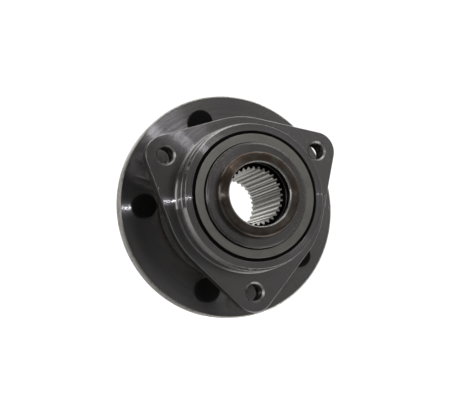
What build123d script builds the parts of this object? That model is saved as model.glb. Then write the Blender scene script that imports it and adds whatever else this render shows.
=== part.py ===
"""Driven wheel hub bearing: a flanged hub turning on two rows of balls in a flanged outer ring."""

import os
from math import cos, radians, sin

from build123d import *

# Frame: the hub turns about Y, +Y is the wheel side, +Z is up, and the origin is on the
# hub's axis in the plane of the mounting face that bolts against the knuckle.
# Lengths are millimetres, angles are degrees from +X towards +Z, seen from the knuckle side.

# Splined spindle, worked outwards from the drive shaft
spline_teeth = 33
spline_tip_radius = 16.7
spline_root_radius = 18.1
tooth_space_mouth_share = 0.72
tooth_space_bottom_share = 0.22
spindle_wall = 4.65
counterbore_step = 2.5
counterbore_depth = 9.5
counterbore_fillet = 1.0
entry_chamfer = 0.8
mouth_overhang = 1.3
mouth_land = 2.4
mouth_rounding = 1.0

# Ball rows
ball_radius = 6.0
ball_count = 14
first_ball_angle = 7.0
race_clearance = 0.08
inner_ring_wall = 4.85
row_spacing = 20.5
inboard_row_y = -3.0
inner_low_step = 0.3
inner_shoulder_height = 4.6
outer_low_step = 0.3
outer_shoulder_height = 4.6
race_edge_chamfer = 0.3

# Ball cages
cage_pocket_clearance = 0.15
cage_bore_gap = 1.2
cage_rim_gap = 0.6
cage_back_wall = 1.4
cage_finger_reach = 2.2

# Seals
seal_bore_step = 0.24
seal_width = 4.6
seal_room = 1.1
inboard_seal_recess = 0.2
slinger_standout = 0.7
outboard_seal_recess = 0.5
seal_case_wall = 0.8
seal_case_reach = 3.6
slinger_wall = 0.8
slinger_rim_gap = 2.0
slinger_bend = 0.5
slinger_edge_rounding = 0.2
lip_clearance = 0.1
lip_thickness = 0.7
seal_rubber_wall = 0.9

# Separate inner ring and the lip that is rolled over it
ring_standout = 3.5
ring_face_chamfer = 1.3
ring_edge_rounding = 0.35
ring_bore_chamfer = 1.2
lip_height = 5.0
lip_overlap = 3.3
lip_rounding = 2.2

# Outer ring
pilot_wall = 5.5
pilot_lead_length = 4.0
pilot_lead_drop = 1.2
pilot_lead_step = 0.2
pilot_groove_width = 1.0
pilot_groove_depth = 0.6
pilot_root_fillet = 0.8
barrel_wall = 8.7
barrel_end_chamfer = 0.8
outer_bore_chamfer = 0.2

# Mounting flange with three tapped ears
ear_count = 3
first_ear_angle = 30.0
ear_circle_radius = 57.75
ear_end_radius = 12.4
flange_waist_margin = 3.3
mount_flange_thickness = 8.0
mount_edge_rounding = 0.6
boss_wall = 3.9
boss_height = 6.0
boss_edge_chamfer = 1.0
mount_bolt_radius = 6.0
mount_hole_chamfer = 0.45

# Wheel flange, studs and wheel spigot
stud_count = 5
first_stud_angle = 177.8
stud_circle_radius = 57.5
stud_rim_margin = 15.5
wheel_flange_thickness = 9.5
wheel_flange_chamfer = 0.8
wheel_flange_root_fillet = 3.5
stud_head_radius = 8.0
stud_head_height = 3.8
stud_head_rounding = 0.9
stud_head_clearance = 0.8
stud_knurl_radius = 6.5
stud_thread_radius = 6.0
stud_length = 31.0
stud_nose_length = 2.6
stud_nose_step = 1.1
stud_knurl_setback = 0.4
brake_spigot_radius = 35.8
brake_spigot_length = 7.0
wheel_spigot_step = 0.75
wheel_spigot_length = 7.5
wheel_spigot_lead = 2.0
spigot_wall = 7.5
spigot_draft = 1.5
recess_below_flange = 4.0
recess_floor_fillet = 2.0
spigot_relief_width = 2.2
spigot_relief_depth = 0.5

# Radii that follow from the sizes above
spindle_radius = spline_root_radius + spindle_wall
groove_radius = ball_radius + race_clearance
inner_race_radius = spindle_radius + inner_ring_wall
pitch_radius = inner_race_radius + groove_radius
inner_shoulder_radius = inner_race_radius + inner_shoulder_height
inner_low_radius = inner_race_radius + inner_low_step
outer_race_radius = pitch_radius + groove_radius
outer_land_radius = outer_race_radius - outer_shoulder_height
outer_low_radius = outer_race_radius - outer_low_step
seal_bore_radius = outer_race_radius + seal_bore_step
pilot_radius = seal_bore_radius + pilot_wall
barrel_radius = seal_bore_radius + barrel_wall
flange_waist_radius = barrel_radius + flange_waist_margin
counterbore_radius = spline_root_radius + counterbore_step
mouth_radius = counterbore_radius - mouth_overhang
boss_radius = mount_bolt_radius + boss_wall
wheel_flange_radius = stud_circle_radius + stud_rim_margin

# Places along the axis that follow from the sizes above
outboard_row_y = inboard_row_y + row_spacing
rows_middle_y = inboard_row_y + row_spacing / 2
seal_reach = groove_radius + seal_room + seal_width
pilot_end_y = inboard_row_y - seal_reach - inboard_seal_recess
barrel_end_y = outboard_row_y + seal_reach + outboard_seal_recess
wheel_flange_y = barrel_end_y + stud_head_clearance + stud_head_height
wheel_face_y = wheel_flange_y + wheel_flange_thickness
ring_face_y = pilot_end_y - ring_standout
lip_end_y = ring_face_y - lip_height
spline_start_y = lip_end_y + counterbore_depth
recess_floor_y = wheel_face_y - recess_below_flange
brake_spigot_y = wheel_face_y + brake_spigot_length
spigot_end_y = brake_spigot_y + wheel_spigot_length
inboard_seal_y = pilot_end_y + inboard_seal_recess
slinger_y = pilot_end_y - slinger_standout
mouth_end_y = lip_end_y + mouth_land
outboard_seal_y = barrel_end_y - outboard_seal_recess


def section(*corners):
    """Closed half section from (radius, y) corners, where a third number rounds that corner."""
    face = make_face(Polyline(*[corner[:2] for corner in corners], close=True))
    for radius, y, rounding in (corner for corner in corners if len(corner) == 3):
        corner_point = face.vertices().sort_by_distance((radius, y, 0))[0]
        face = fillet(corner_point, rounding)
    return face


def turned(*corners):
    """Solid turned about the hub's axis from the corners of its half section."""
    return revolve(section(*corners), Axis.Y)


def plate(outline, start_y, end_y):
    """Flat plate of an outline drawn as seen from the knuckle side."""
    return extrude(Plane.XZ.offset(-start_y) * outline, amount=start_y - end_y)


def on_circle(radius, angle, y=0.0):
    """Place at a radius and an angle about the hub's axis."""
    return Pos(radius * cos(radians(angle)), y, radius * sin(radians(angle)))


def ear_angles():
    return [first_ear_angle + 360 / ear_count * step for step in range(ear_count)]


def stud_angles():
    return [first_stud_angle + 360 / stud_count * step for step in range(stud_count)]


def ball_places(row_y):
    """Centres of the balls of one row."""
    angles = [first_ball_angle + 360 / ball_count * step for step in range(ball_count)]
    return [on_circle(pitch_radius, angle, row_y) for angle in angles]


def race_groove(row_y):
    """Ring of round section that cuts the raceways of one ball row."""
    return Pos(0, row_y, 0) * Rot(90, 0, 0) * Torus(pitch_radius, groove_radius)


def mounting_flange():
    """Plate with three ears, and a thicker boss and rib behind each tapped hole."""
    waist = Circle(flange_waist_radius)
    ear_end = Circle(ear_end_radius)
    ear_ends = [Rot(0, 0, angle) * Pos(ear_circle_radius, 0) * ear_end for angle in ear_angles()]
    outline = make_hull([edge for shape in (waist, *ear_ends) for edge in shape.edges()])
    body = plate(outline, 0, mount_flange_thickness)
    body = fillet(body.edges().group_by(Axis.Y)[0], mount_edge_rounding)
    for angle in ear_angles():
        boss = Rot(0, 0, angle) * Pos(ear_circle_radius, 0) * Circle(boss_radius)
        root = Rot(0, 0, angle) * Pos(outer_land_radius, 0) * Circle(boss_radius)
        rib_outline = make_hull([*boss.edges(), *root.edges()])
        rib = plate(rib_outline, 0, mount_flange_thickness + boss_height)
        body += chamfer(rib.edges().group_by(Axis.Y)[-1], boss_edge_chamfer)
    return body


def mount_hole():
    """Cutter for a tapped hole, at its thread's outer radius, with a chamfer at both mouths."""
    length = mount_flange_thickness + boss_height
    chamfer_radius = mount_bolt_radius + mount_hole_chamfer
    return turned(
        (0, 0),
        (chamfer_radius, 0),
        (mount_bolt_radius, mount_hole_chamfer),
        (mount_bolt_radius, length - mount_hole_chamfer),
        (chamfer_radius, length),
        (0, length),
    )


def outer_ring():
    """Stationary ring: pilot, mounting flange, barrel and the two outer raceways."""
    lead_start_y = pilot_end_y + pilot_lead_length
    groove_middle_y = lead_start_y + pilot_groove_width / 2
    body = turned(
        (0, pilot_end_y),
        (pilot_radius - pilot_lead_drop, pilot_end_y),
        (pilot_radius - pilot_lead_step, lead_start_y),
        (pilot_radius - pilot_groove_depth, groove_middle_y),
        (pilot_radius, lead_start_y + pilot_groove_width),
        (pilot_radius, 0),
        (barrel_radius, 0),
        (barrel_radius, barrel_end_y - barrel_end_chamfer),
        (barrel_radius - barrel_end_chamfer, barrel_end_y),
        (0, barrel_end_y),
    )
    body += mounting_flange()
    body += turned(
        (pilot_radius - pilot_root_fillet, -pilot_root_fillet),
        (pilot_radius, -pilot_root_fillet),
        (pilot_radius + pilot_root_fillet, 0),
        (pilot_radius - pilot_root_fillet, 0),
    )
    for angle in ear_angles():
        body -= on_circle(ear_circle_radius, angle) * mount_hole()
    body -= turned(
        (0, pilot_end_y),
        (seal_bore_radius + outer_bore_chamfer, pilot_end_y),
        (seal_bore_radius, pilot_end_y + outer_bore_chamfer),
        (seal_bore_radius, inboard_seal_y + seal_width),
        (outer_low_radius, inboard_seal_y + seal_width),
        (outer_low_radius, inboard_row_y),
        (outer_land_radius, inboard_row_y),
        (outer_land_radius, outboard_row_y),
        (outer_low_radius, outboard_row_y),
        (outer_low_radius, outboard_seal_y - seal_width),
        (seal_bore_radius, outboard_seal_y - seal_width),
        (seal_bore_radius, barrel_end_y - outer_bore_chamfer),
        (seal_bore_radius + outer_bore_chamfer, barrel_end_y),
        (0, barrel_end_y),
    )
    body -= race_groove(inboard_row_y)
    body -= race_groove(outboard_row_y)
    return body


def spline_cutter(start_y, end_y):
    """Bore of the drive spline: its tip circle and the spaces between its teeth."""
    step = 360 / spline_teeth
    mouth_half = step * tooth_space_mouth_share / 2
    bottom_half = step * tooth_space_bottom_share / 2
    inside_radius = spline_tip_radius - 1
    corners = []
    for tooth in range(spline_teeth):
        middle = tooth * step
        for radius, offset in (
            (spline_tip_radius, -step / 2),
            (spline_tip_radius, -mouth_half),
            (spline_root_radius, -bottom_half),
            (spline_root_radius, bottom_half),
            (spline_tip_radius, mouth_half),
        ):
            angle = radians(middle + offset)
            corners.append((radius * cos(angle), radius * sin(angle)))
    outline = make_face(Polyline(*corners, close=True))
    return plate(outline + Circle(inside_radius), start_y, end_y)


def hub_flange():
    """Rotating hub: rolled spindle, outboard inner raceway, wheel flange and wheel spigot."""
    lip_radius = spindle_radius + lip_overlap
    spigot_radius = brake_spigot_radius - wheel_spigot_step
    recess_radius = spigot_radius - spigot_wall
    relief_radius = brake_spigot_radius + spigot_relief_width
    far_chamfer = spline_root_radius + entry_chamfer - spline_tip_radius
    body = turned(
        (mouth_radius, lip_end_y, mouth_rounding),
        (lip_radius, lip_end_y, lip_rounding),
        (lip_radius, ring_face_y),
        (spindle_radius, ring_face_y),
        (spindle_radius, rows_middle_y),
        (inner_low_radius, rows_middle_y),
        (inner_low_radius, outboard_row_y),
        (inner_shoulder_radius, outboard_row_y),
        (inner_shoulder_radius, wheel_flange_y, wheel_flange_root_fillet),
        (wheel_flange_radius - wheel_flange_chamfer, wheel_flange_y),
        (wheel_flange_radius, wheel_flange_y + wheel_flange_chamfer),
        (wheel_flange_radius, wheel_face_y - wheel_flange_chamfer),
        (wheel_flange_radius - wheel_flange_chamfer, wheel_face_y),
        (relief_radius, wheel_face_y),
        (relief_radius, wheel_face_y - spigot_relief_depth),
        (brake_spigot_radius, wheel_face_y - spigot_relief_depth),
        (brake_spigot_radius, brake_spigot_y),
        (spigot_radius, brake_spigot_y),
        (spigot_radius, spigot_end_y - wheel_spigot_lead),
        (spigot_radius - wheel_spigot_lead, spigot_end_y),
        (recess_radius, spigot_end_y),
        (recess_radius - spigot_draft, recess_floor_y, recess_floor_fillet),
        (spline_tip_radius + far_chamfer, recess_floor_y),
        (spline_tip_radius, recess_floor_y - far_chamfer),
        (spline_tip_radius, spline_start_y + entry_chamfer),
        (spline_root_radius, spline_start_y),
        (counterbore_radius, spline_start_y, counterbore_fillet),
        (counterbore_radius, mouth_end_y + mouth_overhang),
        (mouth_radius, mouth_end_y),
    )
    body -= race_groove(outboard_row_y)
    body -= spline_cutter(spline_start_y, recess_floor_y)
    for angle in stud_angles():
        stud_hole = Pos(0, wheel_flange_y, 0) * turned(
            (0, 0),
            (stud_knurl_radius, 0),
            (stud_knurl_radius, wheel_flange_thickness),
            (0, wheel_flange_thickness),
        )
        body -= on_circle(stud_circle_radius, angle) * stud_hole
    return body


def inner_ring():
    """Ring with the inboard inner raceway, clamped on the spindle by the rolled lip."""
    face_radius = inner_shoulder_radius - ring_face_chamfer
    body = turned(
        (spindle_radius, ring_face_y + ring_bore_chamfer),
        (spindle_radius + ring_bore_chamfer, ring_face_y),
        (face_radius, ring_face_y),
        (inner_shoulder_radius, ring_face_y + ring_face_chamfer / 2, ring_edge_rounding),
        (inner_shoulder_radius, inboard_row_y),
        (inner_low_radius, inboard_row_y),
        (inner_low_radius, rows_middle_y - race_edge_chamfer),
        (inner_low_radius - race_edge_chamfer, rows_middle_y),
        (spindle_radius, rows_middle_y),
    )
    return body - race_groove(inboard_row_y)


def cage(row_y, towards_middle):
    """Snap-in cage: a rim on the middle side of the row, with a round pocket for each ball."""
    rim_y = row_y + towards_middle * (ball_radius + cage_pocket_clearance + cage_back_wall)
    finger_y = row_y - towards_middle * cage_finger_reach
    body = turned(
        (inner_low_radius + cage_bore_gap, min(rim_y, finger_y)),
        (outer_land_radius - cage_rim_gap, min(rim_y, finger_y)),
        (outer_land_radius - cage_rim_gap, max(rim_y, finger_y)),
        (inner_low_radius + cage_bore_gap, max(rim_y, finger_y)),
    )
    for place in ball_places(row_y):
        body -= place * Sphere(ball_radius + cage_pocket_clearance)
    return body


def slinger():
    """Flinger ring: an angle section pressed on the inner ring, with a flat rim outside."""
    bore = inner_shoulder_radius
    rim = seal_bore_radius - slinger_rim_gap
    return turned(
        (bore, slinger_y, slinger_bend),
        (rim, slinger_y, slinger_edge_rounding),
        (rim, slinger_y + slinger_wall),
        (bore + slinger_wall, slinger_y + slinger_wall),
        (bore + slinger_wall, inboard_seal_y + seal_width - slinger_wall),
        (bore, inboard_seal_y + seal_width - slinger_wall),
    )


def seal_case(open_y, inward):
    """Angle-section steel case pressed in the outer ring; its wall closes the inner side."""
    back_y = open_y + inward * seal_width
    front_y = open_y + inward * seal_case_wall
    wall_y = back_y - inward * seal_case_wall
    return turned(
        (seal_bore_radius, front_y),
        (seal_bore_radius, back_y),
        (seal_bore_radius - seal_case_reach, back_y),
        (seal_bore_radius - seal_case_reach, wall_y),
        (seal_bore_radius - seal_case_wall, wall_y),
        (seal_bore_radius - seal_case_wall, front_y),
    )


def seal_rubber(open_y, inward, running_radius):
    """Rubber moulded round the case, with two lips that run on a shaft of the given radius."""
    back_y = open_y + inward * seal_width
    case_wall_y = back_y - inward * seal_case_wall
    skin_y = case_wall_y - inward * seal_rubber_wall
    lip_radius = running_radius + lip_clearance
    case_edge = seal_bore_radius - seal_case_reach
    case_side = seal_bore_radius - seal_case_wall
    neck_radius = case_edge - lip_thickness
    front_y = open_y + inward * seal_case_wall
    return turned(
        (seal_bore_radius, open_y),
        (seal_bore_radius, front_y),
        (case_side, front_y),
        (case_side, case_wall_y),
        (case_edge, case_wall_y),
        (case_edge, back_y),
        (lip_radius + lip_thickness, back_y),
        (lip_radius, back_y - inward * lip_thickness / 2),
        (neck_radius, case_wall_y - inward * lip_thickness / 2),
        (lip_radius, skin_y - inward * lip_thickness),
        (lip_radius + lip_thickness, skin_y - inward * lip_thickness),
        (neck_radius + lip_thickness, skin_y),
        (case_side - seal_rubber_wall, skin_y),
        (case_side - seal_rubber_wall, open_y),
    )


def wheel_stud():
    """Press-in stud: domed head, knurled seat, threaded shank and a plain nose."""
    shank_end = wheel_flange_thickness + stud_length
    knurl_end = wheel_flange_thickness - stud_knurl_setback
    nose_radius = stud_thread_radius - stud_nose_step
    return turned(
        (0, -stud_head_height),
        (stud_head_radius, -stud_head_height, stud_head_rounding),
        (stud_head_radius, 0),
        (stud_knurl_radius, 0),
        (stud_knurl_radius, knurl_end),
        (stud_thread_radius, knurl_end + stud_knurl_radius - stud_thread_radius),
        (stud_thread_radius, shank_end - stud_nose_length - stud_nose_step),
        (nose_radius, shank_end - stud_nose_length),
        (nose_radius, shank_end - stud_nose_step),
        (nose_radius - stud_nose_step, shank_end),
        (0, shank_end),
    )


def wheel_hub_bearing():
    """Every piece under the name of its own file."""
    pieces = {
        "outer_ring": outer_ring(),
        "hub_flange": hub_flange(),
        "inner_ring": inner_ring(),
        "inboard_cage": cage(inboard_row_y, 1),
        "outboard_cage": cage(outboard_row_y, -1),
        "inboard_slinger": slinger(),
        "inboard_seal_case": seal_case(inboard_seal_y, 1),
        "inboard_seal_lip": seal_rubber(inboard_seal_y, 1, inner_shoulder_radius + slinger_wall),
        "outboard_seal_case": seal_case(outboard_seal_y, -1),
        "outboard_seal_lip": seal_rubber(outboard_seal_y, -1, inner_shoulder_radius),
    }
    for number, angle in enumerate(stud_angles(), 1):
        stud = on_circle(stud_circle_radius, angle, wheel_flange_y) * wheel_stud()
        pieces[f"wheel_stud_{number}"] = stud
    for row, row_y in (("inboard", inboard_row_y), ("outboard", outboard_row_y)):
        for number, place in enumerate(ball_places(row_y), 1):
            pieces[f"{row}_ball_{number:02d}"] = place * Sphere(ball_radius)
    return pieces


os.makedirs("parts", exist_ok=True)
for name, shape in wheel_hub_bearing().items():
    export_step(shape, f"parts/{name}.step")
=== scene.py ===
# %% [markdown]
# # Dressing a wheel hub bearing
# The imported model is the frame: every ring, stud and ball stands at its real size and place,
# in metres, with the hub's axis along Y, the knuckle side towards -Y and Z up. This script adds
# what the solids leave out: the camera, the studio, the finish of each surface, and the threads
# that a roller and a tap leave behind.

# %% Frame
import math

import bmesh
import bpy
from mathutils import Euler, Matrix, Vector


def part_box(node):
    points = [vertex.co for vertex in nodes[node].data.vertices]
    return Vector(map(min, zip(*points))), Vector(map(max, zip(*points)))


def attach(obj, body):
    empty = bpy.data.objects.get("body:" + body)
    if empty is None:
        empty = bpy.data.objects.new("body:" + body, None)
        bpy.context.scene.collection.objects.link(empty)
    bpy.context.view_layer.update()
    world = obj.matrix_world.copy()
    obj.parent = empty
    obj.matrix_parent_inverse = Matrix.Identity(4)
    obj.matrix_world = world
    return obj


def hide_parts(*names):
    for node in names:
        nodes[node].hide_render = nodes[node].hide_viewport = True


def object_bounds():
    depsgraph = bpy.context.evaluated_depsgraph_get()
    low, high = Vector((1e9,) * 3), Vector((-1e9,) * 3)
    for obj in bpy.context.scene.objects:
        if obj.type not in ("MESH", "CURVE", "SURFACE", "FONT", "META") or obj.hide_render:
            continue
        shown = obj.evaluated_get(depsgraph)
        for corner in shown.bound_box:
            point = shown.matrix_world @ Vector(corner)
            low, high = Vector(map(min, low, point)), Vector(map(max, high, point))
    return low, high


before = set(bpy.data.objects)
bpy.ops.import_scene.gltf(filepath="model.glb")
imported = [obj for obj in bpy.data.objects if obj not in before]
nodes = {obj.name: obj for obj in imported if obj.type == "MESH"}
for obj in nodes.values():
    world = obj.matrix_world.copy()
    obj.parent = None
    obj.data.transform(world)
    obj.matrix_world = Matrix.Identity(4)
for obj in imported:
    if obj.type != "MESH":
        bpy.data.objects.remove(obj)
cad_low, cad_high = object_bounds()
scene = bpy.context.scene
mm = 0.001
print("nodes in the frame:", len(nodes))

# %% [markdown]
# ## Camera
# The photo was taken with a short telephoto lens from the knuckle side, a little to the left of
# the axis and a little below it. An aim point, a distance and three angles say the same as a
# matrix would, and they can be read and changed one by one.

# %% Camera
aim = Vector((-8.5, 16.4, 1.7)) * mm
view_distance = 600 * mm
view_azimuth = math.radians(-19.16)
view_elevation = math.radians(-6.15)
view_roll = math.radians(-4.65)

camera = bpy.data.objects.new("camera", bpy.data.cameras.new("camera"))
scene.collection.objects.link(camera)
scene.camera = camera
camera.data.lens = 75.7
camera.data.sensor_width = 36
camera.data.clip_start = 10 * mm
camera.data.clip_end = 20
turn = Euler((math.pi / 2 - view_elevation, 0, view_azimuth)).to_matrix()
turn = turn @ Matrix.Rotation(view_roll, 3, "Z")
camera.matrix_world = Matrix.Translation(aim + turn.col[2] * view_distance) @ turn.to_4x4()
print("camera at", [round(v / mm, 1) for v in camera.matrix_world.translation])

# %% [markdown]
# ## Node helpers
# Materials, groups and the world are all node trees, and a tree is quickest to read when each
# node is one call. `add` makes a node and fills its sockets: a plain value is set on the socket,
# and another node's output is linked to it. `calculate` and `ramp` are the two nodes that
# appear again and again, Math and Map Range.

# %% Node helpers
def add(tree, kind, sockets=None, **settings):
    """Makes a node, fills or links its sockets, and sets its other fields."""
    node = tree.nodes.new("ShaderNode" + kind)
    for name, value in settings.items():
        setattr(node, name, value)
    for key, value in (sockets or {}).items():
        if isinstance(value, bpy.types.NodeSocket):
            tree.links.new(value, node.inputs[key])
        else:
            node.inputs[key].default_value = value
    return node


def calculate(tree, operation, first, second=0.0):
    """Result of one Math node."""
    return add(tree, "Math", {0: first, 1: second}, operation=operation).outputs[0]


def ramp(tree, value, low, high, from_value=0.0, to_value=1.0, kind="SMOOTHSTEP"):
    """Runs from one value to another while its input runs from low to high."""
    sockets = {"Value": value, "From Min": low, "From Max": high}
    sockets.update({"To Min": from_value, "To Max": to_value})
    return add(tree, "MapRange", sockets, interpolation_type=kind).outputs["Result"]


print("helpers: add, calculate, ramp")

# %% [markdown]
# Most of the finishes are masks that are multiplied, added up and used to blend two colours.
# `beyond`, `short_of` and `within` make a mask from a border or two. Their borders are soft,
# because a finish on a real part never ends in a hard line.

# %% Mask helpers
def product(tree, first, *others):
    """Product of masks, values and plain numbers."""
    for other in others:
        first = calculate(tree, "MULTIPLY", first, other)
    return first


def total(tree, first, *others):
    """Sum of masks, values and plain numbers."""
    for other in others:
        first = calculate(tree, "ADD", first, other)
    return first


def beyond(tree, value, border, soft=0.2):
    """Mask that turns from 0 to 1 where a value passes a border, over twice the softness."""
    return ramp(tree, value, border - soft, border + soft)


def short_of(tree, value, border, soft=0.2):
    """Mask that turns from 1 to 0 where a value passes a border, over twice the softness."""
    return ramp(tree, value, border + soft, border - soft)


def within(tree, value, low, high, soft=0.15):
    """Mask that is 1 between two borders and 0 outside them."""
    return product(tree, beyond(tree, value, low, soft), short_of(tree, value, high, soft))


def blend(tree, mask, first, second):
    """The first colour where the mask is 0, and the second where it is 1."""
    node = tree.nodes.new("ShaderNodeMix")
    node.data_type = "RGBA"
    for socket, value in (("Factor_Float", mask), ("A_Color", first), ("B_Color", second)):
        slot = next(s for s in node.inputs if s.identifier == socket)
        if isinstance(value, bpy.types.NodeSocket):
            tree.links.new(value, slot)
        else:
            slot.default_value = (*value, 1)
    return next(s for s in node.outputs if s.identifier == "Result_Color")


print("helpers: product, total, beyond, short_of, within, blend")

# %% [markdown]
# ## Studio
# Polished steel has hardly any colour of its own: it shows the room. In the photo the faces
# that look at the camera mirror a dim room, a little lighter to the right and upwards, while the
# edges that look sideways mirror a white backdrop behind the part. A photographed room could be
# wrapped round the part, but a few soft patches say the same and can be moved one by one. Each
# patch is a mask on the direction of a ray, whose three components run from -1 to 1. The
# backdrop reaches further up than down, and it ends on the left, sooner where the ray is level.

# %% World: dim room and backdrop
world = bpy.data.worlds.new("studio")
scene.world = world
world.use_nodes = True
room = world.node_tree
room.nodes.clear()
ray = add(room, "SeparateXYZ", {0: add(room, "TexCoord").outputs["Generated"]}).outputs

room_right = ramp(room, ray["X"], 0.22, 0.44, from_value=0.015, to_value=0.25)
room_height = ramp(room, ray["Z"], -0.25, 0.35, from_value=1.05, to_value=1.15)
dim_room = product(room, room_height, room_right)

steep = calculate(room, "MAXIMUM", product(room, ray["Z"], 0.8), product(room, ray["Z"], -0.4))
behind = ramp(room, total(room, ray["Y"], steep), 0.30, 0.65)
off_level = product(room, calculate(room, "ABSOLUTE", ray["Z"]), 0.9)
left_end = ramp(room, total(room, ray["X"], off_level), -0.35, 0.15)
white = ramp(room, ray["Z"], -0.8, 0.0, from_value=0.8, to_value=1.3)
backdrop = product(room, behind, left_end, white)
print("nodes for the dim room and the backdrop:", len(room.nodes))

# %% [markdown]
# Three smaller patches finish the room: a light on the ceiling, a wall on the left that is only
# just lit, and a window at the far left. The window draws the thin bright lines on the edges
# that face left, such as the mouth of the bore. The camera itself sees plain white everywhere,
# because the part stands cut out on white.

# %% World: ceiling light, wall and window
wall_strength = 0.14
window_strength = 1.2

ceiling_light = product(
    room,
    within(room, ray["X"], -0.04, 0.27, soft=0.12),
    within(room, ray["Z"], 0.34, 0.62, soft=0.14),
)
left_wall = product(room, within(room, ray["X"], -0.75, -0.20), wall_strength)
window = product(
    room,
    ramp(room, ray["X"], -0.74, -0.92),
    within(room, ray["Z"], -0.35, 0.45, soft=0.1),
    ramp(room, ray["Y"], 0.25, 0.05),
    window_strength,
)
room_light = total(room, dim_room, backdrop, ceiling_light, left_wall, window)

seen_in_steel = add(room, "Background", {"Color": (1, 0.985, 0.97, 1), "Strength": room_light})
seen_by_camera = add(room, "Background", {"Color": (1, 1, 1, 1), "Strength": 1.1})
camera_ray = add(room, "LightPath").outputs["Is Camera Ray"]
room_mix = add(
    room, "MixShader", {0: camera_ray, 1: seen_in_steel.outputs[0], 2: seen_by_camera.outputs[0]}
)
add(room, "OutputWorld", {"Surface": room_mix.outputs[0]})
scene.view_settings.view_transform = "Standard"
print("world nodes:", len(room.nodes))

# %% [markdown]
# A pale floor lies well below the part, so that nothing but white shows round it from the
# photo's side. To the camera it glows as white as the backdrop. To everything else it is a
# plain surface that returns a soft light from below, and every chamfer that looks down mirrors
# it. So its tones are painted light and shade, chosen by what those chamfers show: painted
# shade in front of the part, darker behind it on the left than on the right, and a painted glow
# on a card under the right half.

# %% Floor
floor_height = cad_low[2] - 75 * mm
card_glow_strength = 0.6
camera_white = 0.94

sheet = bmesh.new()
bmesh.ops.create_grid(sheet, x_segments=1, y_segments=1, size=6)
bmesh.ops.translate(sheet, verts=sheet.verts, vec=(0, 0, floor_height))
floor = bpy.data.objects.new("floor", bpy.data.meshes.new("floor"))
sheet.to_mesh(floor.data)
sheet.free()
scene.collection.objects.link(floor)

pale = bpy.data.materials.new("pale_floor")
pale.use_nodes = True
tree = pale.node_tree
tree.nodes.clear()
spot = add(tree, "SeparateXYZ", {0: add(tree, "TexCoord").outputs["Object"]}).outputs
# Painted shade and light on the floor: darker in front and on the left.
behind_part = ramp(tree, spot["X"], -0.06, 0.06, from_value=0.38, to_value=0.95)
behind_part = ramp(tree, spot["Y"], 0.18, 0.30, from_value=behind_part, to_value=0.75)
painted_floor_tone = ramp(tree, spot["Y"], -0.12, 0.04, from_value=0.10, to_value=behind_part)
paper = add(tree, "BsdfDiffuse", {"Color": painted_floor_tone})
# A painted glow: an emitting card on the floor under the part's right half.
card_glow_mask = product(
    tree,
    within(tree, spot["X"], -0.01, 0.16, soft=0.04),
    within(tree, spot["Y"], -0.08, 0.16, soft=0.04),
    card_glow_strength,
)
card_glow = add(tree, "Emission", {"Strength": card_glow_mask})
paper = add(tree, "AddShader", {0: paper.outputs[0], 1: card_glow.outputs[0]})
glow = add(tree, "Emission", {"Color": (1, 1, 1, 1), "Strength": camera_white})
lit_paper = add(tree, "AddShader", {0: paper.outputs[0], 1: glow.outputs[0]})
camera_ray = add(tree, "LightPath").outputs["Is Camera Ray"]
floor_mix = add(
    tree, "MixShader", {0: camera_ray, 1: paper.outputs[0], 2: lit_paper.outputs[0]}
)
add(tree, "OutputMaterial", {"Surface": floor_mix.outputs[0]})
floor.data.materials.append(pale)
print("floor at", round(floor_height / mm, 1), "mm")

# %% [markdown]
# Two strips and a tube make the drawing on the steel. A turned face smears a highlight across
# its grooves, so a lamp shows as a wedge that points at the axis. The strips hang high, one
# narrow and one broad, and give the soft wedges at ten o'clock. The thin tube, a little above
# the axis and mostly to the left, gives the fine bright lines at nine o'clock. If it reached
# further to the right it would wash out every face. The lamps show in shiny surfaces alone, so
# they leave the tones of the floor as they are.

# %% Lamps
lamp_violet = (0.95, 0.93, 1.0)


def lamp(name, place, size, power, roll=0):
    """Rectangular lamp that looks at the part: metres, watts, and degrees of roll."""
    data = bpy.data.lights.new(name, "AREA")
    data.shape = "RECTANGLE"
    data.size, data.size_y = size
    data.energy = power
    data.color = lamp_violet
    data.cycles.max_bounces = 0
    made = bpy.data.objects.new(name, data)
    scene.collection.objects.link(made)
    made.visible_diffuse = False
    place = Vector(place)
    facing = place.to_track_quat("Z", "Y").to_matrix()
    facing = facing @ Matrix.Rotation(math.radians(roll), 3, "Z")
    made.matrix_world = Matrix.Translation(place) @ facing.to_4x4()
    print(name, "at", [round(v, 2) for v in place], "m")
    return made


lamp("narrow_strip", (0.07, -1.10, 0.48), (0.36, 0.05), 0.13, roll=132)
lamp("broad_strip", (0.13, -1.09, 0.49), (0.36, 0.16), 0.14, roll=124)
lamp("tube_lamp", (-0.34, -1.18, 0.148), (1.02, 0.003), 0.36)

# %% [markdown]
# ## Shared effects
# Every turned surface of this part has its grooves round the Y axis, so the distance from that
# axis and the place along it describe a groove completely. The first group turns a point of
# the piece into those two numbers, in millimetres. It reads Object coordinates, which stay with
# the piece when it turns.

# %% Group: place on the hub
def new_group(name, inputs=(), outputs=()):
    """Empty group with number inputs, and number outputs apart from a Normal."""
    group = bpy.data.node_groups.new(name, "ShaderNodeTree")
    for socket, default in inputs:
        made = group.interface.new_socket(
            socket, in_out="INPUT", socket_type="NodeSocketFloat"
        )
        made.default_value = default
    for socket in outputs:
        kind = "NodeSocketVector" if socket == "Normal" else "NodeSocketFloat"
        group.interface.new_socket(socket, in_out="OUTPUT", socket_type=kind)
    ends = group.nodes.new("NodeGroupInput"), group.nodes.new("NodeGroupOutput")
    return group, *ends


def use_group(tree, group, **values):
    """Places a group in a tree and returns its outputs."""
    node = tree.nodes.new("ShaderNodeGroup")
    node.node_tree = group
    for name, value in values.items():
        socket = node.inputs[name.replace("_", " ")]
        if isinstance(value, bpy.types.NodeSocket):
            tree.links.new(value, socket)
        else:
            socket.default_value = value
    return node.outputs


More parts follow.
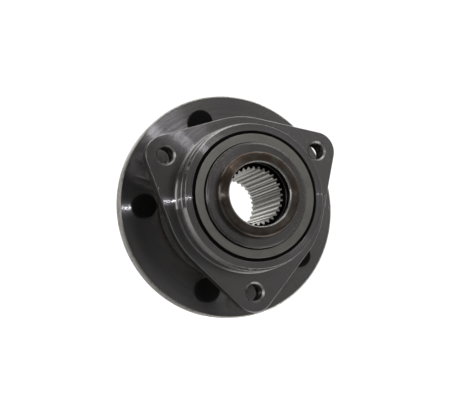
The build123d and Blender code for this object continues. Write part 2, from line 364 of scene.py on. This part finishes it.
place_group, _, place_out = new_group("place on the hub", outputs=("Radius", "Along"))
point = add(place_group, "TexCoord").outputs["Object"]
point = add(place_group, "VectorMath", {0: point}, operation="SCALE")
point.inputs["Scale"].default_value = 1 / mm
parts = add(place_group, "SeparateXYZ", {0: point.outputs[0]}).outputs
flat = add(place_group, "CombineXYZ", {"X": parts["X"], "Y": parts["Z"]})
reach = add(place_group, "VectorMath", {0: flat.outputs[0]}, operation="LENGTH")
place_group.links.new(reach.outputs["Value"], place_out.inputs["Radius"])
place_group.links.new(parts["Y"], place_out.inputs["Along"])
print("group:", place_group.name)

# %% [markdown]
# Tool marks are noise that changes with the radius and along the axis, and hardly at all round
# the circle. Two sizes together read as turned steel: the fine feed of the tool, and bands six
# times as wide where it dwelt or the stock sprang.

# %% Group: tool marks
band_scale = 0.17
feed_share = 0.55


def across_grooves(tree):
    """The two coordinates that change from one groove to the next."""
    where = use_group(tree, place_group)
    return add(tree, "CombineXYZ", {"X": where["Radius"], "Y": where["Along"]}).outputs[0]


marks_group, marks_in, marks_out = new_group(
    "tool marks", inputs=(("Per mm", 2.0),), outputs=("Shade", "Height")
)
groove = across_grooves(marks_group)
per_mm = marks_in.outputs["Per mm"]
feed = add(marks_group, "TexNoise", {"Vector": groove, "Scale": per_mm, "Detail": 3})
band_sockets = {"Vector": groove, "Scale": product(marks_group, per_mm, band_scale)}
bands = add(marks_group, "TexNoise", band_sockets)
shade = total(
    marks_group,
    product(marks_group, feed.outputs[0], feed_share),
    product(marks_group, bands.outputs[0], 1 - feed_share),
)
marks_group.links.new(shade, marks_out.inputs["Shade"])
marks_group.links.new(feed.outputs[0], marks_out.inputs["Height"])
print("group:", marks_group.name)

# %% [markdown]
# The turning tool leaves grooves finer than the camera can resolve. What it does see is how they
# scatter light: hardly at all along a groove, and widely across it. The groove group tilts the
# normal across the grooves by a fine noise, whose values crowd round their middle, so most of
# the surface stays nearly flat and only a little of it is steep. That draws a lamp as a wedge
# with a bright core that points at the axis. The same group rounds the edges of the solid a
# little, with the Bevel node, so that they catch the light as real edges do.

# %% Group: grooves
def round_the_axis(tree):
    """Direction of the lathe's grooves at each point, in world space."""
    point = add(tree, "SeparateXYZ", {0: add(tree, "TexCoord").outputs["Object"]})
    back = product(tree, point.outputs["Z"], -1.0)
    along = add(tree, "CombineXYZ", {"X": back, "Z": point.outputs["X"]})
    turned = add(tree, "VectorTransform", {0: along.outputs[0]}, vector_type="VECTOR")
    turned.convert_from = "OBJECT"
    turned.convert_to = "WORLD"
    return add(tree, "VectorMath", {0: turned.outputs[0]}, operation="NORMALIZE").outputs[0]


groove_group, groove_in, groove_out = new_group(
    "grooves",
    inputs=(("Steepness", 1.2), ("Per mm", 13.0), ("Rounding", 0.3)),
    outputs=("Normal",),
)
noise_sockets = {"Vector": across_grooves(groove_group), "Scale": groove_in.outputs["Per mm"]}
cut = add(groove_group, "TexNoise", noise_sockets).outputs[0]
depth = calculate(groove_group, "SUBTRACT", cut, 0.5)
tilt = product(groove_group, depth, groove_in.outputs["Steepness"])
edge_radius = product(groove_group, groove_in.outputs["Rounding"], mm)
rounded = add(groove_group, "Bevel", {"Radius": edge_radius}, samples=4).outputs[0]
across = add(
    groove_group,
    "VectorMath",
    {0: rounded, 1: round_the_axis(groove_group)},
    operation="CROSS_PRODUCT",
)
lean = add(groove_group, "VectorMath", {0: across.outputs[0]}, operation="SCALE")
groove_group.links.new(tilt, lean.inputs["Scale"])
tilted = add(groove_group, "VectorMath", {0: rounded, 1: lean.outputs[0]}, operation="ADD")
tilted = add(groove_group, "VectorMath", {0: tilted.outputs[0]}, operation="NORMALIZE")
groove_group.links.new(tilted.outputs[0], groove_out.inputs["Normal"])
print("group:", groove_group.name)

# %% [markdown]
# A part that has been handled and oiled is never evenly bright. The smudge group gives a soft
# cloudy mask for oil film and stain, and the pit group gives small hard specks for the rough
# skin of the flanges' outlines and for phosphate. Both are the same noise, cut off softly in one
# and sharply in the other.

# %% Groups: smudges and pits
rarest_pit = 0.66
pit_range = 0.3
pit_border = 0.09


def cloud(tree, size_socket, detail, roughness):
    """Noise whose feature size is a socket in millimetres."""
    where = add(tree, "TexCoord").outputs["Object"]
    scale = calculate(tree, "DIVIDE", 1 / mm, size_socket)
    sockets = {"Vector": where, "Scale": scale, "Detail": detail, "Roughness": roughness}
    return add(tree, "TexNoise", sockets).outputs[0]


smudge_group, smudge_in, smudge_out = new_group(
    "smudges", inputs=(("Size", 20.0), ("From", 0.42), ("To", 0.66)), outputs=("Mask",)
)
smudge_mask = ramp(
    smudge_group,
    cloud(smudge_group, smudge_in.outputs["Size"], detail=5.0, roughness=0.6),
    smudge_in.outputs["From"],
    smudge_in.outputs["To"],
)
smudge_group.links.new(smudge_mask, smudge_out.inputs["Mask"])

pit_group, pit_in, pit_out = new_group(
    "pits", inputs=(("Size", 1.2), ("Share", 0.4)), outputs=("Mask",)
)
pit_noise = cloud(pit_group, pit_in.outputs["Size"], detail=3.0, roughness=0.75)
commoner = product(pit_group, pit_in.outputs["Share"], pit_range)
pit_start = calculate(pit_group, "SUBTRACT", rarest_pit, commoner)
pit_mask = ramp(pit_group, pit_noise, pit_start, total(pit_group, pit_start, pit_border))
pit_group.links.new(pit_mask, pit_out.inputs["Mask"])
print("groups:", smudge_group.name, pit_group.name)

# %% [markdown]
# Edges rub bright, and the same brightening is a painted highlight on edges that catch the
# light. The Bevel node gives the normal that a rounded edge would have; where it differs from
# the true normal there is an edge near by. The difference, cut off softly, is the mask for worn
# and painted-highlight edges.

# %% Group: edge wear
same_normal = 0.995
edge_normal = 0.90

edge_wear_highlight_group, edge_mask_in, edge_mask_out = new_group(
    "edge wear and highlight", inputs=(("Width", 0.5),), outputs=("Mask",)
)
edge_mask_radius = product(edge_wear_highlight_group, edge_mask_in.outputs["Width"], mm)
rounded = add(edge_wear_highlight_group, "Bevel", {"Radius": edge_mask_radius}, samples=4).outputs[0]
true_normal = add(edge_wear_highlight_group, "NewGeometry").outputs["Normal"]
likeness = add(
    edge_wear_highlight_group, "VectorMath", {0: rounded, 1: true_normal}, operation="DOT_PRODUCT"
)
edge_wear_highlight_mask = ramp(edge_wear_highlight_group, likeness.outputs["Value"], same_normal, edge_normal)
edge_wear_highlight_group.links.new(edge_wear_highlight_mask, edge_mask_out.inputs["Mask"])
print("group:", edge_wear_highlight_group.name)

# %% [markdown]
# ## Steel
# One function starts every steel: a metal whose highlights are smeared across the grooves. The
# smear is the shader's anisotropy, with a tangent that runs round the axis, and the grooves in
# the normal break it up. The marks and the pits of each finish are a bump on top of them.

# %% Steel helpers
steel_metallic = 0.85
quarter_turn = 0.25


def new_material(name):
    made = bpy.data.materials.new(name)
    made.use_nodes = True
    return made, made.node_tree, made.node_tree.nodes["Principled BSDF"]


def new_steel(name, smear=1.0):
    made, tree, shader = new_material(name)
    shader.inputs["Metallic"].default_value = steel_metallic
    shader.inputs["Anisotropic"].default_value = smear
    shader.inputs["Anisotropic Rotation"].default_value = quarter_turn
    tree.links.new(round_the_axis(tree), shader.inputs["Tangent"])
    return made, tree, shader


def bump(tree, height, distance, steepness=None, rounding=0.25):
    """Normal of a mask as relief, over grooves if steepness is given; lengths in millimetres."""
    sockets = {"Height": height, "Distance": distance * mm}
    if steepness:
        grooves = use_group(tree, groove_group, Steepness=steepness, Rounding=rounding)
        sockets["Normal"] = grooves["Normal"]
    return add(tree, "Bump", sockets).outputs[0]


def dress(material, *names):
    """Gives a material to nodes of the frame."""
    for name in names:
        nodes[name].data.materials.clear()
        nodes[name].data.materials.append(material)
    print(material.name, "on", ", ".join(names))


# %% [markdown]
# The outer ring and the hub are both turned and left bare. Under a film of oil they read as a
# dark grey with a hint of violet, warmer where the oil has dried. The tool marks darken the
# colour and dull the polish a little, and they cut a very shallow bump. These three functions
# hold what the two pieces share.

# %% Turned and oiled steel
violet_steel = (0.40, 0.392, 0.398)
warm_steel = (0.36, 0.345, 0.32)
dark_steel = (0.20, 0.194, 0.19)
worn_and_highlit_steel = (0.84, 0.82, 0.80)
warm_share = 0.45
mark_share = 0.25
mark_height = 0.05
groove_steepness = 1.2


def turned_colour(tree, marks, stain):
    tint = blend(tree, product(tree, stain, warm_share), violet_steel, warm_steel)
    depth = ramp(tree, marks["Shade"], 0.35, 0.65, to_value=mark_share, kind="LINEAR")
    return blend(tree, depth, tint, dark_steel)


def turned_roughness(tree, marks):
    return ramp(tree, marks["Shade"], 0.3, 0.7, from_value=0.08, to_value=0.11)


def turned_relief(tree, marks, pits):
    """Height of the tool marks, with the pits sunk into them."""
    return total(tree, product(tree, marks["Height"], mark_height), product(tree, pits, -1.0))


print("bright edges:", worn_and_highlit_steel)

# %% [markdown]
# The outer ring is turned all over but for the outline of its flange, which keeps the dark skin
# of the forging, pitted and hardly rubbed. The mask for that skin is where the surface faces
# sideways, far from the axis and behind the mounting face. The end of the barrel, next to the
# wheel flange, has a dull band painted pale brown, a painted highlight for the light line along
# its end.

# %% Outer ring: colour
outline_radius = 50.6
outline_y = 0.5
edge_radii = (50.0, 52.0)
barrel_end_y = (28.4, 30.2)
barrel_highlight_share = 0.8
forged_scale = (0.05, 0.046, 0.044)
forged_pit = (0.03, 0.027, 0.025)
# Pale brown of the barrel's end band: a painted highlight.
painted_barrel_highlight = (0.60, 0.50, 0.42)


def facing_y(tree):
    """How far the surface looks along the axis: -1 to the knuckle, 1 to the wheel."""
    return add(tree, "SeparateXYZ", {0: add(tree, "TexCoord").outputs["Normal"]}).outputs["Y"]


def forged_skin(tree, where):
    sideways = ramp(tree, calculate(tree, "ABSOLUTE", facing_y(tree)), 0.35, 0.15)
    far_out = beyond(tree, where["Radius"], outline_radius)
    behind_face = beyond(tree, where["Along"], outline_y)
    return product(tree, sideways, far_out, behind_face)


ring_steel, tree, shader = new_steel("turned_ring_steel")
where = use_group(tree, place_group)
marks = use_group(tree, marks_group, Per_mm=2.2)
stain = use_group(tree, smudge_group, Size=26.0)["Mask"]
worn_and_lit_edge = use_group(tree, edge_wear_highlight_group, Width=0.5)["Mask"]
pits = use_group(tree, pit_group, Size=1.4, Share=0.5)["Mask"]
forged = forged_skin(tree, where)
barrel_highlight_band = within(tree, where["Along"], *barrel_end_y, soft=0.3)
barrel_highlight_band = product(tree, barrel_highlight_band, barrel_highlight_share)
rubbed_and_lit_share = ramp(tree, where["Radius"], *edge_radii, from_value=0.75, to_value=0.15)
colour = turned_colour(tree, marks, stain)
colour = blend(tree, forged, colour, blend(tree, pits, forged_scale, forged_pit))
# Painted highlight: the pale brown band at the barrel's end.
colour = blend(tree, barrel_highlight_band, colour, painted_barrel_highlight)
# Edges painted bright: wear, and a painted highlight where they catch the light.
colour = blend(tree, product(tree, worn_and_lit_edge, rubbed_and_lit_share), colour, worn_and_highlit_steel)
tree.links.new(colour, shader.inputs["Base Color"])
print("outer ring's colour:", len(tree.nodes), "nodes")

# %% [markdown]
# The forged skin and the brown band are duller than the turned faces. The turned edges of the
# ring are rounded more than those of the forged outline, where a broad highlight would look
# like a machined chamfer.

# %% Outer ring: polish and relief
ring_dullness = 0.35
ring_pit_depth = 0.06

roughness = total(
    tree,
    turned_roughness(tree, marks),
    product(tree, forged, ring_dullness),
    product(tree, barrel_highlight_band, ring_dullness),
)
tree.links.new(roughness, shader.inputs["Roughness"])
height = turned_relief(tree, marks, product(tree, pits, forged))
rounding = ramp(tree, where["Radius"], *edge_radii, from_value=0.6, to_value=0.12)
normal = bump(tree, height, ring_pit_depth, groove_steepness, rounding)
tree.links.new(normal, shader.inputs["Normal"])
dress(ring_steel, "outer_ring")

# %% [markdown]
# The hub is one forging with several finishes on it, and each finish has its mask from the
# radius and the place along the axis. It could be cut into several pieces with a material each,
# but on the real part the finishes are on one piece of steel and run into each other. First
# come the turned faces, and the rim of the wheel flange, which was only rough turned and has
# weathered to a pale speckled skin.

# %% Hub: turned faces and rim
rim_start_radius = 71.8
rim_full_radius = 72.2
hub_rubbed_and_lit = 0.35
rim_pale = (0.68, 0.665, 0.63)
rim_dark = (0.36, 0.345, 0.315)

hub_steel, tree, shader = new_steel("turned_hub_steel")
where = use_group(tree, place_group)
marks = use_group(tree, marks_group, Per_mm=1.8)
stain = use_group(tree, smudge_group, Size=30.0)["Mask"]
worn_and_lit_edge = use_group(tree, edge_wear_highlight_group, Width=0.5)["Mask"]
specks = use_group(tree, pit_group, Size=2.4, Share=0.42)["Mask"]
rim = ramp(tree, where["Radius"], rim_start_radius, rim_full_radius)
colour = turned_colour(tree, marks, stain)
# Edges painted bright: wear, and a painted highlight where they catch the light.
colour = blend(tree, product(tree, worn_and_lit_edge, hub_rubbed_and_lit), colour, worn_and_highlit_steel)
colour = blend(tree, rim, colour, blend(tree, specks, rim_pale, rim_dark))
print("rim from radius", rim_start_radius, "mm")

# %% [markdown]
# The end of the spindle was rolled over the inner ring, which holds the bearing together. The
# roller burnished that lip and scorched it brown in clouds. The rounded edge of the bore's mouth
# is painted bright, a painted highlight.

# %% Hub: rolled lip
lip_edge_y = -18.5
mouth_radii = (20.4, 19.9)
lip_brown = (0.145, 0.107, 0.082)
lip_grey = (0.195, 0.178, 0.158)

lip = short_of(tree, where["Along"], lip_edge_y)
scorch = use_group(tree, smudge_group, Size=7.0, From=0.38, To=0.62)["Mask"]
mouth_highlight = product(tree, lip, ramp(tree, where["Radius"], *mouth_radii))
colour = blend(tree, lip, colour, blend(tree, scorch, lip_grey, lip_brown))
# The bore's mouth painted bright: a painted highlight.
colour = blend(tree, mouth_highlight, colour, worn_and_highlit_steel)
print("lip beyond y", lip_edge_y, "mm")

# %% [markdown]
# The spline is broached. Its teeth are painted lighter at their tips than down their flanks, a
# painted highlight on the tips and painted shade in the spaces. The counterbore in front of it is
# painted black as painted shade: on its wall, on the ends of the teeth and at the start of the
# spaces between them. The painted shade is lifted in part in a ring where the counterbore meets
# the teeth.

# %% Hub: spline and oil
counterbore_y = (-22.2, -12.6)
counterbore_radius = 21.5
spline_start_y = -14.4
tooth_tip_radius = 16.9
tooth_flank_radius = 17.5
shade_start_radius = 18.4
lifted_shade_y = (-15.2, -12.6)
lifted_shade_radii = (20.0, 20.3)
lifted_shade_share = 0.6
# Tip and space colours of the spline: a painted highlight and painted shade.
spline_tip_highlight = (0.55, 0.55, 0.52)
spline_space_shade = (0.36, 0.36, 0.34)
# Near black: painted shade in the counterbore and at the slinger's foot.
painted_shade_black = (0.006, 0.006, 0.006)

inside = short_of(tree, where["Radius"], counterbore_radius, soft=0.1)
spline = product(tree, inside, beyond(tree, where["Along"], spline_start_y))
tooth_depth = ramp(
    tree, where["Radius"], tooth_tip_radius, tooth_flank_radius, kind="LINEAR"
)
# Tips painted lighter and spaces darker: painted highlight and painted shade.
colour = blend(tree, spline, colour, blend(tree, tooth_depth, spline_tip_highlight, spline_space_shade))

tooth_end = ramp(tree, facing_y(tree), -0.25, -0.45)
deep = calculate(tree, "MAXIMUM", beyond(tree, where["Radius"], shade_start_radius), tooth_end)
lifted_shade = product(
    tree,
    within(tree, where["Along"], *lifted_shade_y),
    ramp(tree, where["Radius"], *lifted_shade_radii),
    lifted_shade_share,
)
painted_shade = product(
    tree,
    within(tree, where["Along"], *counterbore_y, soft=0.3),
    inside,
    deep,
    calculate(tree, "SUBTRACT", 1.0, lifted_shade),
)
# Counterbore, tooth ends and the start of the spaces painted black: painted shade.
colour = blend(tree, painted_shade, colour, painted_shade_black)
tree.links.new(colour, shader.inputs["Base Color"])
print("hub's colour:", len(tree.nodes), "nodes")

# %% [markdown]
# Each finish has its own dullness on top of the turned polish. The rim's weathered skin is also
# less of a metal. The wheel side is a little duller than the knuckle side, because a mirror
# there would show the studs as dark dashes round the spigot.

# %% Hub: polish and relief
rim_dullness = 0.26
spline_dullness = 0.08
shade_dullness = 0.3
lip_dullness = 0.08
wheel_side_y = (42.0, 45.0)
wheel_side_dullness = 0.14
rim_metallic = 0.65
rim_pit_depth = 0.08

roughness = total(
    tree,
    turned_roughness(tree, marks),
    product(tree, rim, rim_dullness),
    product(tree, spline, spline_dullness),
    product(tree, painted_shade, shade_dullness),
    product(tree, lip, lip_dullness),
    ramp(tree, where["Along"], *wheel_side_y, to_value=wheel_side_dullness),
)
tree.links.new(roughness, shader.inputs["Roughness"])
metallic = ramp(tree, rim, 0.0, 1.0, from_value=steel_metallic, to_value=rim_metallic)
tree.links.new(metallic, shader.inputs["Metallic"])
height = turned_relief(tree, marks, product(tree, specks, rim))
normal = bump(tree, height, rim_pit_depth, groove_steepness)
tree.links.new(normal, shader.inputs["Normal"])
dress(hub_steel, "hub_flange")

# %% [markdown]
# The inner ring is hardened and ground, the slinger is pressed from zinc-coated strip, and the
# seal cases are plain pressed steel. They share one function, with their own colours, polish and
# smear: a ground face still smears a lamp, and a pressed one hardly does. Their edges are painted
# bright, for wear and as a painted highlight, and the slinger's foot is painted black, a painted
# shade where it meets the inner ring.

# %% Ground, plated and pressed steel
edge_brightness = 0.8
fine_mark_depth = 0.003
shade_border = 0.3


def plain_steel(
    name, light, dark, rough, marks_per_mm, steepness, smear, rounding, shade_radius=0.0
):
    """Steel of one finish; marks per millimetre, and the other lengths in millimetres."""
    made, tree, shader = new_steel(name, smear)
    marks = use_group(tree, marks_group, Per_mm=marks_per_mm)
    stain = use_group(tree, smudge_group, Size=12.0)["Mask"]
    worn_and_lit_edge = use_group(tree, edge_wear_highlight_group, Width=rounding)["Mask"]
    shade = product(tree, total(tree, marks["Shade"], stain), 0.5)
    colour = blend(tree, shade, light, dark)
    # Edges painted bright: wear, and a painted highlight where they catch the light.
    colour = blend(tree, product(tree, worn_and_lit_edge, edge_brightness), colour, worn_and_highlit_steel)
    radius = use_group(tree, place_group)["Radius"]
    # Below the given radius the colour is painted black: painted shade.
    painted_shade = ramp(tree, radius, shade_radius, shade_radius - shade_border)
    colour = blend(tree, painted_shade, colour, painted_shade_black)
    tree.links.new(colour, shader.inputs["Base Color"])
    tree.links.new(ramp(tree, shade, 0.2, 0.8, rough, rough + 0.1), shader.inputs["Roughness"])
    normal = bump(tree, marks["Height"], fine_mark_depth, steepness, rounding)
    tree.links.new(normal, shader.inputs["Normal"])
    return made


ground = plain_steel(
    "ground_ring_steel", light=(0.34, 0.325, 0.325), dark=(0.22, 0.20, 0.20),
    rough=0.20, marks_per_mm=3.0, steepness=0.7, smear=0.5, rounding=0.6,
)
zinc = plain_steel(
    "zinc_slinger_steel", light=(0.56, 0.56, 0.51), dark=(0.40, 0.40, 0.36),
    rough=0.32, marks_per_mm=1.6, steepness=0.2, smear=0.1, rounding=0.3, shade_radius=33.1,
)
pressed = plain_steel(
    "seal_case_steel", light=(0.40, 0.40, 0.38), dark=(0.22, 0.22, 0.21),
    rough=0.35, marks_per_mm=1.6, steepness=0.2, smear=0.1, rounding=0.3,
)
dress(ground, "inner_ring")
dress(zinc, "inboard_slinger")
dress(pressed, "inboard_seal_case", "outboard_seal_case")

# %% [markdown]
# Nitrile rubber is nearly black, with a dull skin and a trace of release dust. The ball cages
# are moulded glass-filled nylon, a warm dark plastic, and the balls are polished bearing steel
# under a film of grease.

# %% Rubber, nylon and balls
def moulded(name, light, dark, rough, grain, relief):
    """Dull moulded skin; grain and relief in millimetres."""
    made, tree, shader = new_material(name)
    dust = use_group(tree, smudge_group, Size=5.0, From=0.45, To=0.75)["Mask"]
    specks = use_group(tree, pit_group, Size=grain, Share=0.6)["Mask"]
    tree.links.new(blend(tree, dust, dark, light), shader.inputs["Base Color"])
    roughness = ramp(tree, dust, 0.0, 1.0, rough, rough + 0.15)
    tree.links.new(roughness, shader.inputs["Roughness"])
    tree.links.new(bump(tree, specks, relief), shader.inputs["Normal"])
    shader.inputs["Specular IOR Level"].default_value = 0.15
    return made


rubber = moulded(
    "nitrile_rubber", light=(0.008, 0.008, 0.008), dark=(0.003, 0.003, 0.003),
    rough=0.6, grain=0.4, relief=0.01,
)
nylon = moulded(
    "cage_nylon", light=(0.10, 0.085, 0.06), dark=(0.05, 0.042, 0.03),
    rough=0.38, grain=0.6, relief=0.01,
)
dress(rubber, "inboard_seal_lip", "outboard_seal_lip")
dress(nylon, "inboard_cage", "outboard_cage")

clean_ball = (0.62, 0.61, 0.60)
greased_ball = (0.50, 0.47, 0.41)
ball_steel, tree, shader = new_material("polished_ball_steel")
cloud_mask = use_group(tree, smudge_group, Size=4.0)["Mask"]
shader.inputs["Metallic"].default_value = 1
tree.links.new(blend(tree, cloud_mask, clean_ball, greased_ball), shader.inputs["Base Color"])
tree.links.new(ramp(tree, cloud_mask, 0.0, 1.0, 0.05, 0.16), shader.inputs["Roughness"])
dress(ball_steel, *[name for name in nodes if "_ball_" in name])

# %% [markdown]
# ## Threads
# A thread is one ridge wound round a core. Spinning the outline of a single pitch, with a small
# shift along the axis at each step of the spin, winds it: after one turn the end of the outline
# meets its own start, so merging doubles closes the surface. The same function cuts the studs'
# threads and the tapped holes' threads, because a tapped hole is the same surface seen from
# inside.

# %% Winding a thread
thread_pitch = 1.5
thread_outline = ((0, 0.0), (1, 0.40), (1, 0.52), (0, 0.92), (0, 1.0))
steps_per_turn = 48
touching = 0.002 * mm


def wind_thread(shape, outer, root, start, turns):
    """Winds a thread about Z in a bmesh, all in metres, and leaves both ends open."""
    pitch = thread_pitch * mm
    corners = [
        shape.verts.new((outer if on_crest else root, 0, start + share * pitch))
        for on_crest, share in thread_outline
    ]
    edges = [shape.edges.new(pair) for pair in zip(corners, corners[1:])]
    bmesh.ops.spin(
        shape,
        geom=corners + edges,
        cent=(0, 0, 0),
        axis=(0, 0, 1),
        dvec=(0, 0, pitch / steps_per_turn),
        angle=2 * math.pi * turns,
        steps=steps_per_turn * turns,
        use_merge=False,
    )
    bmesh.ops.remove_doubles(shape, verts=shape.verts, dist=touching)
    return shape


print("thread pitch", thread_pitch, "mm,", steps_per_turn, "steps a turn")

# %% [markdown]
# Both ends of a wound thread are ragged loops. Extruding such a loop and laying its new edge
# flat, at a chosen radius and height, runs the thread out, and doing it again and again grows
# the rest of the piece ring by ring, as a lathe would cut it.

# %% Growing a piece from its open ends
crisp_angle = math.radians(32)
level = 1e-7


def open_loop(shape, top):
    """Border edges of the upper or the lower end."""
    middle = sum(v.co.z for v in shape.verts) / len(shape.verts)
    return [e for e in shape.edges if e.is_boundary and (e.verts[0].co.z > middle) == top]


def carry_on(shape, loop, radius, height):
    """Extrudes an open end to a flat ring of a new radius and height, and returns its edges."""
    made = bmesh.ops.extrude_edge_only(shape, edges=loop)["geom"]
    for vertex in (g for g in made if isinstance(g, bmesh.types.BMVert)):
        flat = vertex.co.xy.normalized() * radius
        vertex.co = (flat.x, flat.y, height)
    ring = [g for g in made if isinstance(g, bmesh.types.BMEdge)]
    bmesh.ops.remove_doubles(shape, verts=list({v for e in ring for v in e.verts}), dist=touching)
    return [
        e for e in shape.edges
        if e.is_boundary and all(abs(v.co.z - height) < level for v in e.verts)
    ]


def finish_piece(shape, name, matrix, material, body):
    """Turns a bmesh into a piece of the part, at its place and with crisp edges."""
    bmesh.ops.recalc_face_normals(shape, faces=shape.faces)
    bmesh.ops.transform(shape, matrix=matrix, verts=shape.verts)
    mesh = bpy.data.meshes.new(name)
    shape.to_mesh(mesh)
    shape.free()
    mesh.shade_smooth()
    mesh.set_sharp_from_angle(angle=crisp_angle)
    mesh.materials.append(material)
    piece = bpy.data.objects.new(name, mesh)
    scene.collection.objects.link(piece)
    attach(piece, body)
    print(name, "faces", len(mesh.polygons))
    return piece


# %% [markdown]
# A wheel stud is cold-headed wire: a low domed head, a seat that is pressed into the flange, a
# rolled thread and a plain nose that leads the nut on. A phosphate bath has left it a dull,
# finely speckled black, rubbed a little grey on its edges, a grey that is also a painted
# highlight.

# %% Black phosphate
phosphate_black = (0.003, 0.003, 0.003)
phosphate_speck = (0.007, 0.007, 0.0065)
phosphate_rubbed_and_lit = (0.04, 0.038, 0.036)

black_phosphate, tree, shader = new_material("black_phosphate")
specks = use_group(tree, pit_group, Size=0.7, Share=0.7)["Mask"]
worn_and_lit_edge = use_group(tree, edge_wear_highlight_group, Width=0.35)["Mask"]
shader.inputs["Specular IOR Level"].default_value = 0.2
colour = blend(tree, specks, phosphate_black, phosphate_speck)
# Edges painted grey: wear, and a painted highlight.
colour = blend(tree, product(tree, worn_and_lit_edge, 0.5), colour, phosphate_rubbed_and_lit)
tree.links.new(colour, shader.inputs["Base Color"])
tree.links.new(ramp(tree, specks, 0.0, 1.0, 0.5, 0.65), shader.inputs["Roughness"])
tree.links.new(bump(tree, specks, 0.02), shader.inputs["Normal"])
print("material:", black_phosphate.name)

# %% [markdown]
# The thread is wound first, and the rest of the stud grows out of its two open ends, until the
# last ring closes to a point. Each profile is a list of radius and height in millimetres,
# counted from the end of the thread. The number of turns comes from the length of the solid
# stud, and what is left over is a stretch of under two hundredths of its length.

# %% Stud shape
thread_radius = 6.0
root_radius = 5.16
point_radius = 0.05
head_profile = (
    (root_radius, -0.35), (6.2, -0.9), (6.5, -0.9), (6.5, -9.5), (8.0, -9.5), (8.0, -12.3),
    (7.85, -12.75), (7.5, -13.05), (6.9, -13.2), (4.0, -13.28), (point_radius, -13.3),
)
nose_profile = (
    (root_radius, 0.3), (4.9, 0.6), (4.9, 2.6), (4.5, 3.1), (3.8, 3.35), (point_radius, 3.4),
)

stud_low, stud_high = (Vector(corner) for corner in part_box("wheel_stud_1"))
stud_length = stud_high.y - stud_low.y
head_reach = -head_profile[-1][1] * mm
nose_reach = nose_profile[-1][1] * mm
stud_turns = round((stud_length - head_reach - nose_reach) / (thread_pitch * mm)) - 1
stud = wind_thread(bmesh.new(), thread_radius * mm, root_radius * mm, 0, stud_turns)
lower, upper = open_loop(stud, False), open_loop(stud, True)
thread_top = max(v.co.z for v in stud.verts)
for radius, height in nose_profile:
    upper = carry_on(stud, upper, radius * mm, thread_top + height * mm)
for radius, height in head_profile:
    lower = carry_on(stud, lower, radius * mm, height * mm)
bmesh.ops.contextual_create(stud, geom=upper)
bmesh.ops.contextual_create(stud, geom=lower)
bmesh.ops.translate(stud, verts=stud.verts, vec=(0, 0, head_reach))
fit = stud_length / (head_reach + thread_top + nose_reach)
print("stud", round(stud_length / mm, 1), "mm,", stud_turns, "turns, fitted by", round(fit, 4))

# %% [markdown]
# The five studs are copies of one shape. Each takes its place from the box of the solid stud
# that it replaces, and its place goes into its mesh, so the object itself stays at the origin
# and turns with the hub.

# %% Wheel studs
for number in range(1, 6):
    low, high = (Vector(corner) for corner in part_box(f"wheel_stud_{number}"))
    foot = Vector(((low.x + high.x) / 2, low.y, (low.z + high.z) / 2))
    place = Matrix.Translation(foot) @ Matrix.Rotation(-math.pi / 2, 4, "X")
    place = place @ Matrix.Diagonal((1, 1, fit, 1))
    name = f"threaded_stud_{number}"
    piece = finish_piece(stud.copy(), name, place, black_phosphate, "wheel_side")
    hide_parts(f"wheel_stud_{number}")
stud.free()

# %% [markdown]
# The three ears are tapped right through. Their threads are painted dark, a painted shade in
# the holes, in random clouds, while the countersunk mouths are painted bright, a painted
# highlight. Distance from the middle of the ear tells the two apart.

# %% Tapped steel
ear_depth = 14.0
mouth_from_middle = (5.6, 5.9)
# Thread colours are painted shade in the holes; the mouth colour is a painted highlight.
shaded_thread_light = (0.24, 0.23, 0.225)
shaded_thread_dark = (0.08, 0.072, 0.068)
tapped_mouth_highlight = (0.75, 0.73, 0.73)

tapped_steel, tree, shader = new_material("tapped_steel")
shader.inputs["Metallic"].default_value = 1
cloud_mask = use_group(tree, smudge_group, Size=3.0, From=0.35, To=0.6)["Mask"]
along = use_group(tree, place_group)["Along"]
from_middle = calculate(tree, "ABSOLUTE", calculate(tree, "SUBTRACT", along, ear_depth / 2))
mouth_highlight = ramp(tree, from_middle, *mouth_from_middle)
# Painted shade in the threads and a painted highlight on the mouths.
colour = blend(tree, cloud_mask, shaded_thread_light, shaded_thread_dark)
tree.links.new(blend(tree, mouth_highlight, colour, tapped_mouth_highlight), shader.inputs["Base Color"])
tree.links.new(ramp(tree, cloud_mask, 0.0, 1.0, 0.28, 0.45), shader.inputs["Roughness"])
print("material:", tapped_steel.name)

# %% [markdown]
# Each thread is a thin sleeve in its hole. The wound surface faces inwards. At both ends it runs
# out into a cone, as a countersink leaves it, and the cone turns back into the steel. A plain
# skin just inside the steel joins the two ends and closes the sleeve.

# %% Tapped holes
hole_root = 5.94
hole_crest = 5.19
mouth_profile = ((5.25, 1.15), (6.35, 0.05), (6.05, 0.5))
ear_angles = [30, 150, 270]
ear_circle = 57.75

for number, degrees in enumerate(ear_angles, 1):
    turns = round((ear_depth - 2 * mouth_profile[0][1]) / thread_pitch) - 1
    start = (ear_depth - (turns + 1) * thread_pitch) / 2
    sleeve = wind_thread(bmesh.new(), hole_crest * mm, hole_root * mm, start * mm, turns)
    lower, upper = open_loop(sleeve, False), open_loop(sleeve, True)
    for radius, depth in mouth_profile:
        lower = carry_on(sleeve, lower, radius * mm, depth * mm)
        upper = carry_on(sleeve, upper, radius * mm, (ear_depth - depth) * mm)
    bmesh.ops.bridge_loops(sleeve, edges=lower + upper)
    way = math.radians(degrees)
    middle = Vector((math.cos(way), 0, math.sin(way))) * ear_circle * mm
    place = Matrix.Translation(middle) @ Matrix.Rotation(-math.pi / 2, 4, "X")
    finish_piece(sleeve, f"ear_thread_{number}", place, tapped_steel, "knuckle_side")
